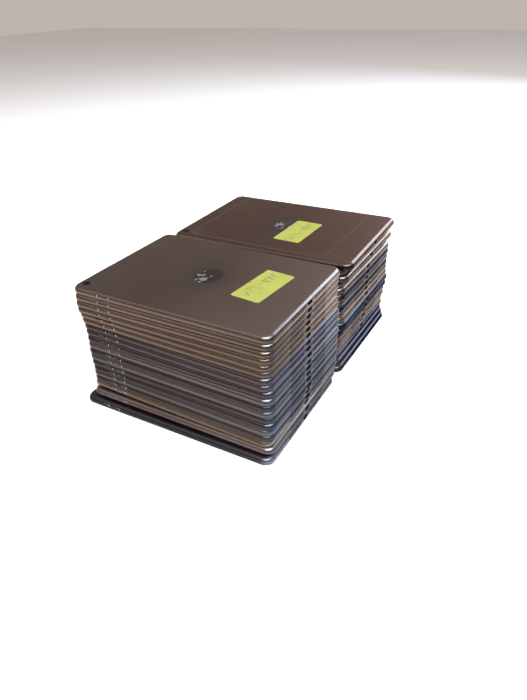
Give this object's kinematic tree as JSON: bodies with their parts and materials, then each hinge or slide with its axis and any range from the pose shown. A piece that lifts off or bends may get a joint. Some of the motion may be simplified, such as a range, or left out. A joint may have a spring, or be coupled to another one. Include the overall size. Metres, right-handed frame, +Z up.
{
  "type": "stack of tablet computers",
  "caption": "Two piles of thin tablet computers lying face down side by side, with rounded aluminium backs, side keys, lens, end port and speaker holes, and a paper label on each back.",
  "frame": {"origin": "middle of the outline of both piles together, on the table they lie on", "axes": "+Z up; +X along the tablets' long sides, from the lens end to the port end; +Y from the front pile to the rear pile"},
  "size_m": [0.2532, 0.3555, 0.1462],
  "materials": {
    "shell_blue_grey": "fine bead-blasted and anodised",
    "shell_champagne": "fine bead-blasted and anodised",
    "shell_copper": "fine bead-blasted and anodised",
    "shell_gold": "fine bead-blasted and anodised",
    "shell_lavender_grey": "fine bead-blasted and anodised",
    "shell_rose_grey": "fine bead-blasted and anodised",
    "shell_silver": "fine bead-blasted and anodised",
    "shell_space_grey": "fine bead-blasted and anodised",
    "screen_glass": "polished black cover glass",
    "battery_wrap": "satin film",
    "circuit_board": "solder mask with tinned shields",
    "lens_black": "gloss black",
    "socket_steel": "tinned steel",
    "emblem_mirror": "mirror-polished plain oval",
    "label_paper": "matt self-adhesive paper",
    "button_glass": "gloss black dished"
  },
  "bodies": {
    "pile_base": {"front_19": "shell_space_grey", "rear_19": "shell_lavender_grey"},
    "front_tablet_18": {"front_18": "shell_lavender_grey"},
    "front_tablet_17": {"front_17": "shell_copper"},
    "front_tablet_16": {"front_16": "shell_blue_grey"},
    "front_tablet_15": {"front_15": "shell_rose_grey"},
    "front_tablet_14": {"front_14": "shell_blue_grey"},
    "front_tablet_13": {"front_13": "shell_blue_grey"},
    "front_tablet_12": {"front_12": "shell_rose_grey"},
    "front_tablet_11": {"front_11": "shell_space_grey"},
    "front_tablet_10": {"front_10": "shell_silver"},
    "front_tablet_09": {"front_09": "shell_rose_grey"},
    "front_tablet_08": {"front_08": "shell_rose_grey"},
    "front_tablet_07": {"front_07": "shell_blue_grey"},
    "front_tablet_06": {"front_06": "shell_gold"},
    "front_tablet_05": {"front_05": "shell_gold"},
    "front_tablet_04": {"front_04": "shell_gold"},
    "front_tablet_03": {"front_03": "shell_champagne"},
    "front_tablet_02": {"front_02": "shell_champagne"},
    "front_tablet_01": {"front_01_housing": "shell_champagne", "front_01_screen": "screen_glass", "front_01_battery": "battery_wrap", "front_01_electronics": "circuit_board", "front_01_camera": "lens_black", "front_01_ports": "socket_steel", "front_01_emblem": "emblem_mirror", "front_01_label": "label_paper"},
    "front_01_home_button_body": {"front_01_home_button": "button_glass"},
    "front_01_volume_up_body": {"front_01_volume_up": "shell_champagne"},
    "front_01_volume_down_body": {"front_01_volume_down": "shell_champagne"},
    "front_01_sleep_button_body": {"front_01_sleep_button": "shell_champagne"},
    "rear_tablet_18": {"rear_18": "shell_lavender_grey"},
    "rear_tablet_17": {"rear_17": "shell_lavender_grey"},
    "rear_tablet_16": {"rear_16": "shell_lavender_grey"},
    "rear_tablet_15": {"rear_15": "shell_rose_grey"},
    "rear_tablet_14": {"rear_14": "shell_gold"},
    "rear_tablet_13": {"rear_13": "shell_gold"},
    "rear_tablet_12": {"rear_12": "shell_blue_grey"},
    "rear_tablet_11": {"rear_11": "shell_blue_grey"},
    "rear_tablet_10": {"rear_10": "shell_gold"},
    "rear_tablet_09": {"rear_09": "shell_gold"},
    "rear_tablet_08": {"rear_08": "shell_blue_grey"},
    "rear_tablet_07": {"rear_07": "shell_copper"},
    "rear_tablet_06": {"rear_06": "shell_blue_grey"},
    "rear_tablet_05": {"rear_05": "shell_champagne"},
    "rear_tablet_04": {"rear_04": "shell_champagne"},
    "rear_tablet_03": {"rear_03": "shell_champagne"},
    "rear_tablet_02": {"rear_02": "shell_champagne"},
    "rear_tablet_01": {"rear_01_housing": "shell_champagne", "rear_01_screen": "screen_glass", "rear_01_battery": "battery_wrap", "rear_01_electronics": "circuit_board", "rear_01_camera": "lens_black", "rear_01_ports": "socket_steel", "rear_01_emblem": "emblem_mirror", "rear_01_label": "label_paper"},
    "rear_01_home_button_body": {"rear_01_home_button": "button_glass"},
    "rear_01_volume_up_body": {"rear_01_volume_up": "shell_champagne"},
    "rear_01_volume_down_body": {"rear_01_volume_down": "shell_champagne"},
    "rear_01_sleep_button_body": {"rear_01_sleep_button": "shell_champagne"}
  },
  "joints": [
    {"name": "lift_front_18", "type": "slide", "parent": "pile_base", "child": "front_tablet_18", "axis": [0, 0, 1], "range_m": [0, 0.015]},
    {"name": "lift_front_17", "type": "slide", "parent": "front_tablet_18", "child": "front_tablet_17", "axis": [0, 0, 1], "range_m": [0, 0.015]},
    {"name": "lift_front_16", "type": "slide", "parent": "front_tablet_17", "child": "front_tablet_16", "axis": [0, 0, 1], "range_m": [0, 0.015]},
    {"name": "lift_front_15", "type": "slide", "parent": "front_tablet_16", "child": "front_tablet_15", "axis": [0, 0, 1], "range_m": [0, 0.015]},
    {"name": "lift_front_14", "type": "slide", "parent": "front_tablet_15", "child": "front_tablet_14", "axis": [0, 0, 1], "range_m": [0, 0.015]},
    {"name": "lift_front_13", "type": "slide", "parent": "front_tablet_14", "child": "front_tablet_13", "axis": [0, 0, 1], "range_m": [0, 0.015]},
    {"name": "lift_front_12", "type": "slide", "parent": "front_tablet_13", "child": "front_tablet_12", "axis": [0, 0, 1], "range_m": [0, 0.015]},
    {"name": "lift_front_11", "type": "slide", "parent": "front_tablet_12", "child": "front_tablet_11", "axis": [0, 0, 1], "range_m": [0, 0.015]},
    {"name": "lift_front_10", "type": "slide", "parent": "front_tablet_11", "child": "front_tablet_10", "axis": [0, 0, 1], "range_m": [0, 0.015]},
    {"name": "lift_front_09", "type": "slide", "parent": "front_tablet_10", "child": "front_tablet_09", "axis": [0, 0, 1], "range_m": [0, 0.015]},
    {"name": "lift_front_08", "type": "slide", "parent": "front_tablet_09", "child": "front_tablet_08", "axis": [0, 0, 1], "range_m": [0, 0.015]},
    {"name": "lift_front_07", "type": "slide", "parent": "front_tablet_08", "child": "front_tablet_07", "axis": [0, 0, 1], "range_m": [0, 0.015]},
    {"name": "lift_front_06", "type": "slide", "parent": "front_tablet_07", "child": "front_tablet_06", "axis": [0, 0, 1], "range_m": [0, 0.015]},
    {"name": "lift_front_05", "type": "slide", "parent": "front_tablet_06", "child": "front_tablet_05", "axis": [0, 0, 1], "range_m": [0, 0.015]},
    {"name": "lift_front_04", "type": "slide", "parent": "front_tablet_05", "child": "front_tablet_04", "axis": [0, 0, 1], "range_m": [0, 0.015]},
    {"name": "lift_front_03", "type": "slide", "parent": "front_tablet_04", "child": "front_tablet_03", "axis": [0, 0, 1], "range_m": [0, 0.015]},
    {"name": "lift_front_02", "type": "slide", "parent": "front_tablet_03", "child": "front_tablet_02", "axis": [0, 0, 1], "range_m": [0, 0.015]},
    {"name": "lift_front_01", "type": "slide", "parent": "front_tablet_02", "child": "front_tablet_01", "axis": [0, 0, 1], "range_m": [0, 0.015]},
    {"name": "press_front_home_button", "type": "slide", "parent": "front_tablet_01", "child": "front_01_home_button_body", "axis": [0, 0, 1], "range_m": [0, 0.0003], "stiffness_N_per_m": 3000},
    {"name": "press_front_volume_up", "type": "slide", "parent": "front_tablet_01", "child": "front_01_volume_up_body", "axis": [0, 1, 0], "range_m": [0, 0.00025], "stiffness_N_per_m": 3000},
    {"name": "press_front_volume_down", "type": "slide", "parent": "front_tablet_01", "child": "front_01_volume_down_body", "axis": [0, 1, 0], "range_m": [0, 0.00025], "stiffness_N_per_m": 3000},
    {"name": "press_front_sleep_button", "type": "slide", "parent": "front_tablet_01", "child": "front_01_sleep_button_body", "axis": [1, 0, 0], "range_m": [0, 0.00025], "stiffness_N_per_m": 3000},
    {"name": "lift_rear_18", "type": "slide", "parent": "pile_base", "child": "rear_tablet_18", "axis": [0, 0, 1], "range_m": [0, 0.015]},
    {"name": "lift_rear_17", "type": "slide", "parent": "rear_tablet_18", "child": "rear_tablet_17", "axis": [0, 0, 1], "range_m": [0, 0.015]},
    {"name": "lift_rear_16", "type": "slide", "parent": "rear_tablet_17", "child": "rear_tablet_16", "axis": [0, 0, 1], "range_m": [0, 0.015]},
    {"name": "lift_rear_15", "type": "slide", "parent": "rear_tablet_16", "child": "rear_tablet_15", "axis": [0, 0, 1], "range_m": [0, 0.015]},
    {"name": "lift_rear_14", "type": "slide", "parent": "rear_tablet_15", "child": "rear_tablet_14", "axis": [0, 0, 1], "range_m": [0, 0.015]},
    {"name": "lift_rear_13", "type": "slide", "parent": "rear_tablet_14", "child": "rear_tablet_13", "axis": [0, 0, 1], "range_m": [0, 0.015]},
    {"name": "lift_rear_12", "type": "slide", "parent": "rear_tablet_13", "child": "rear_tablet_12", "axis": [0, 0, 1], "range_m": [0, 0.015]},
    {"name": "lift_rear_11", "type": "slide", "parent": "rear_tablet_12", "child": "rear_tablet_11", "axis": [0, 0, 1], "range_m": [0, 0.015]},
    {"name": "lift_rear_10", "type": "slide", "parent": "rear_tablet_11", "child": "rear_tablet_10", "axis": [0, 0, 1], "range_m": [0, 0.015]},
    {"name": "lift_rear_09", "type": "slide", "parent": "rear_tablet_10", "child": "rear_tablet_09", "axis": [0, 0, 1], "range_m": [0, 0.015]},
    {"name": "lift_rear_08", "type": "slide", "parent": "rear_tablet_09", "child": "rear_tablet_08", "axis": [0, 0, 1], "range_m": [0, 0.015]},
    {"name": "lift_rear_07", "type": "slide", "parent": "rear_tablet_08", "child": "rear_tablet_07", "axis": [0, 0, 1], "range_m": [0, 0.015]},
    {"name": "lift_rear_06", "type": "slide", "parent": "rear_tablet_07", "child": "rear_tablet_06", "axis": [0, 0, 1], "range_m": [0, 0.015]},
    {"name": "lift_rear_05", "type": "slide", "parent": "rear_tablet_06", "child": "rear_tablet_05", "axis": [0, 0, 1], "range_m": [0, 0.015]},
    {"name": "lift_rear_04", "type": "slide", "parent": "rear_tablet_05", "child": "rear_tablet_04", "axis": [0, 0, 1], "range_m": [0, 0.015]},
    {"name": "lift_rear_03", "type": "slide", "parent": "rear_tablet_04", "child": "rear_tablet_03", "axis": [0, 0, 1], "range_m": [0, 0.015]},
    {"name": "lift_rear_02", "type": "slide", "parent": "rear_tablet_03", "child": "rear_tablet_02", "axis": [0, 0, 1], "range_m": [0, 0.015]},
    {"name": "lift_rear_01", "type": "slide", "parent": "rear_tablet_02", "child": "rear_tablet_01", "axis": [0, 0, 1], "range_m": [0, 0.015]},
    {"name": "press_rear_home_button", "type": "slide", "parent": "rear_tablet_01", "child": "rear_01_home_button_body", "axis": [0, 0, 1], "range_m": [0, 0.0003], "stiffness_N_per_m": 3000},
    {"name": "press_rear_volume_up", "type": "slide", "parent": "rear_tablet_01", "child": "rear_01_volume_up_body", "axis": [-0.0175, 0.9998, 0], "range_m": [0, 0.00025], "stiffness_N_per_m": 3000},
    {"name": "press_rear_volume_down", "type": "slide", "parent": "rear_tablet_01", "child": "rear_01_volume_down_body", "axis": [-0.0175, 0.9998, 0], "range_m": [0, 0.00025], "stiffness_N_per_m": 3000},
    {"name": "press_rear_sleep_button", "type": "slide", "parent": "rear_tablet_01", "child": "rear_01_sleep_button_body", "axis": [0.9998, 0.0175, 0], "range_m": [0, 0.00025], "stiffness_N_per_m": 3000}
  ]
}
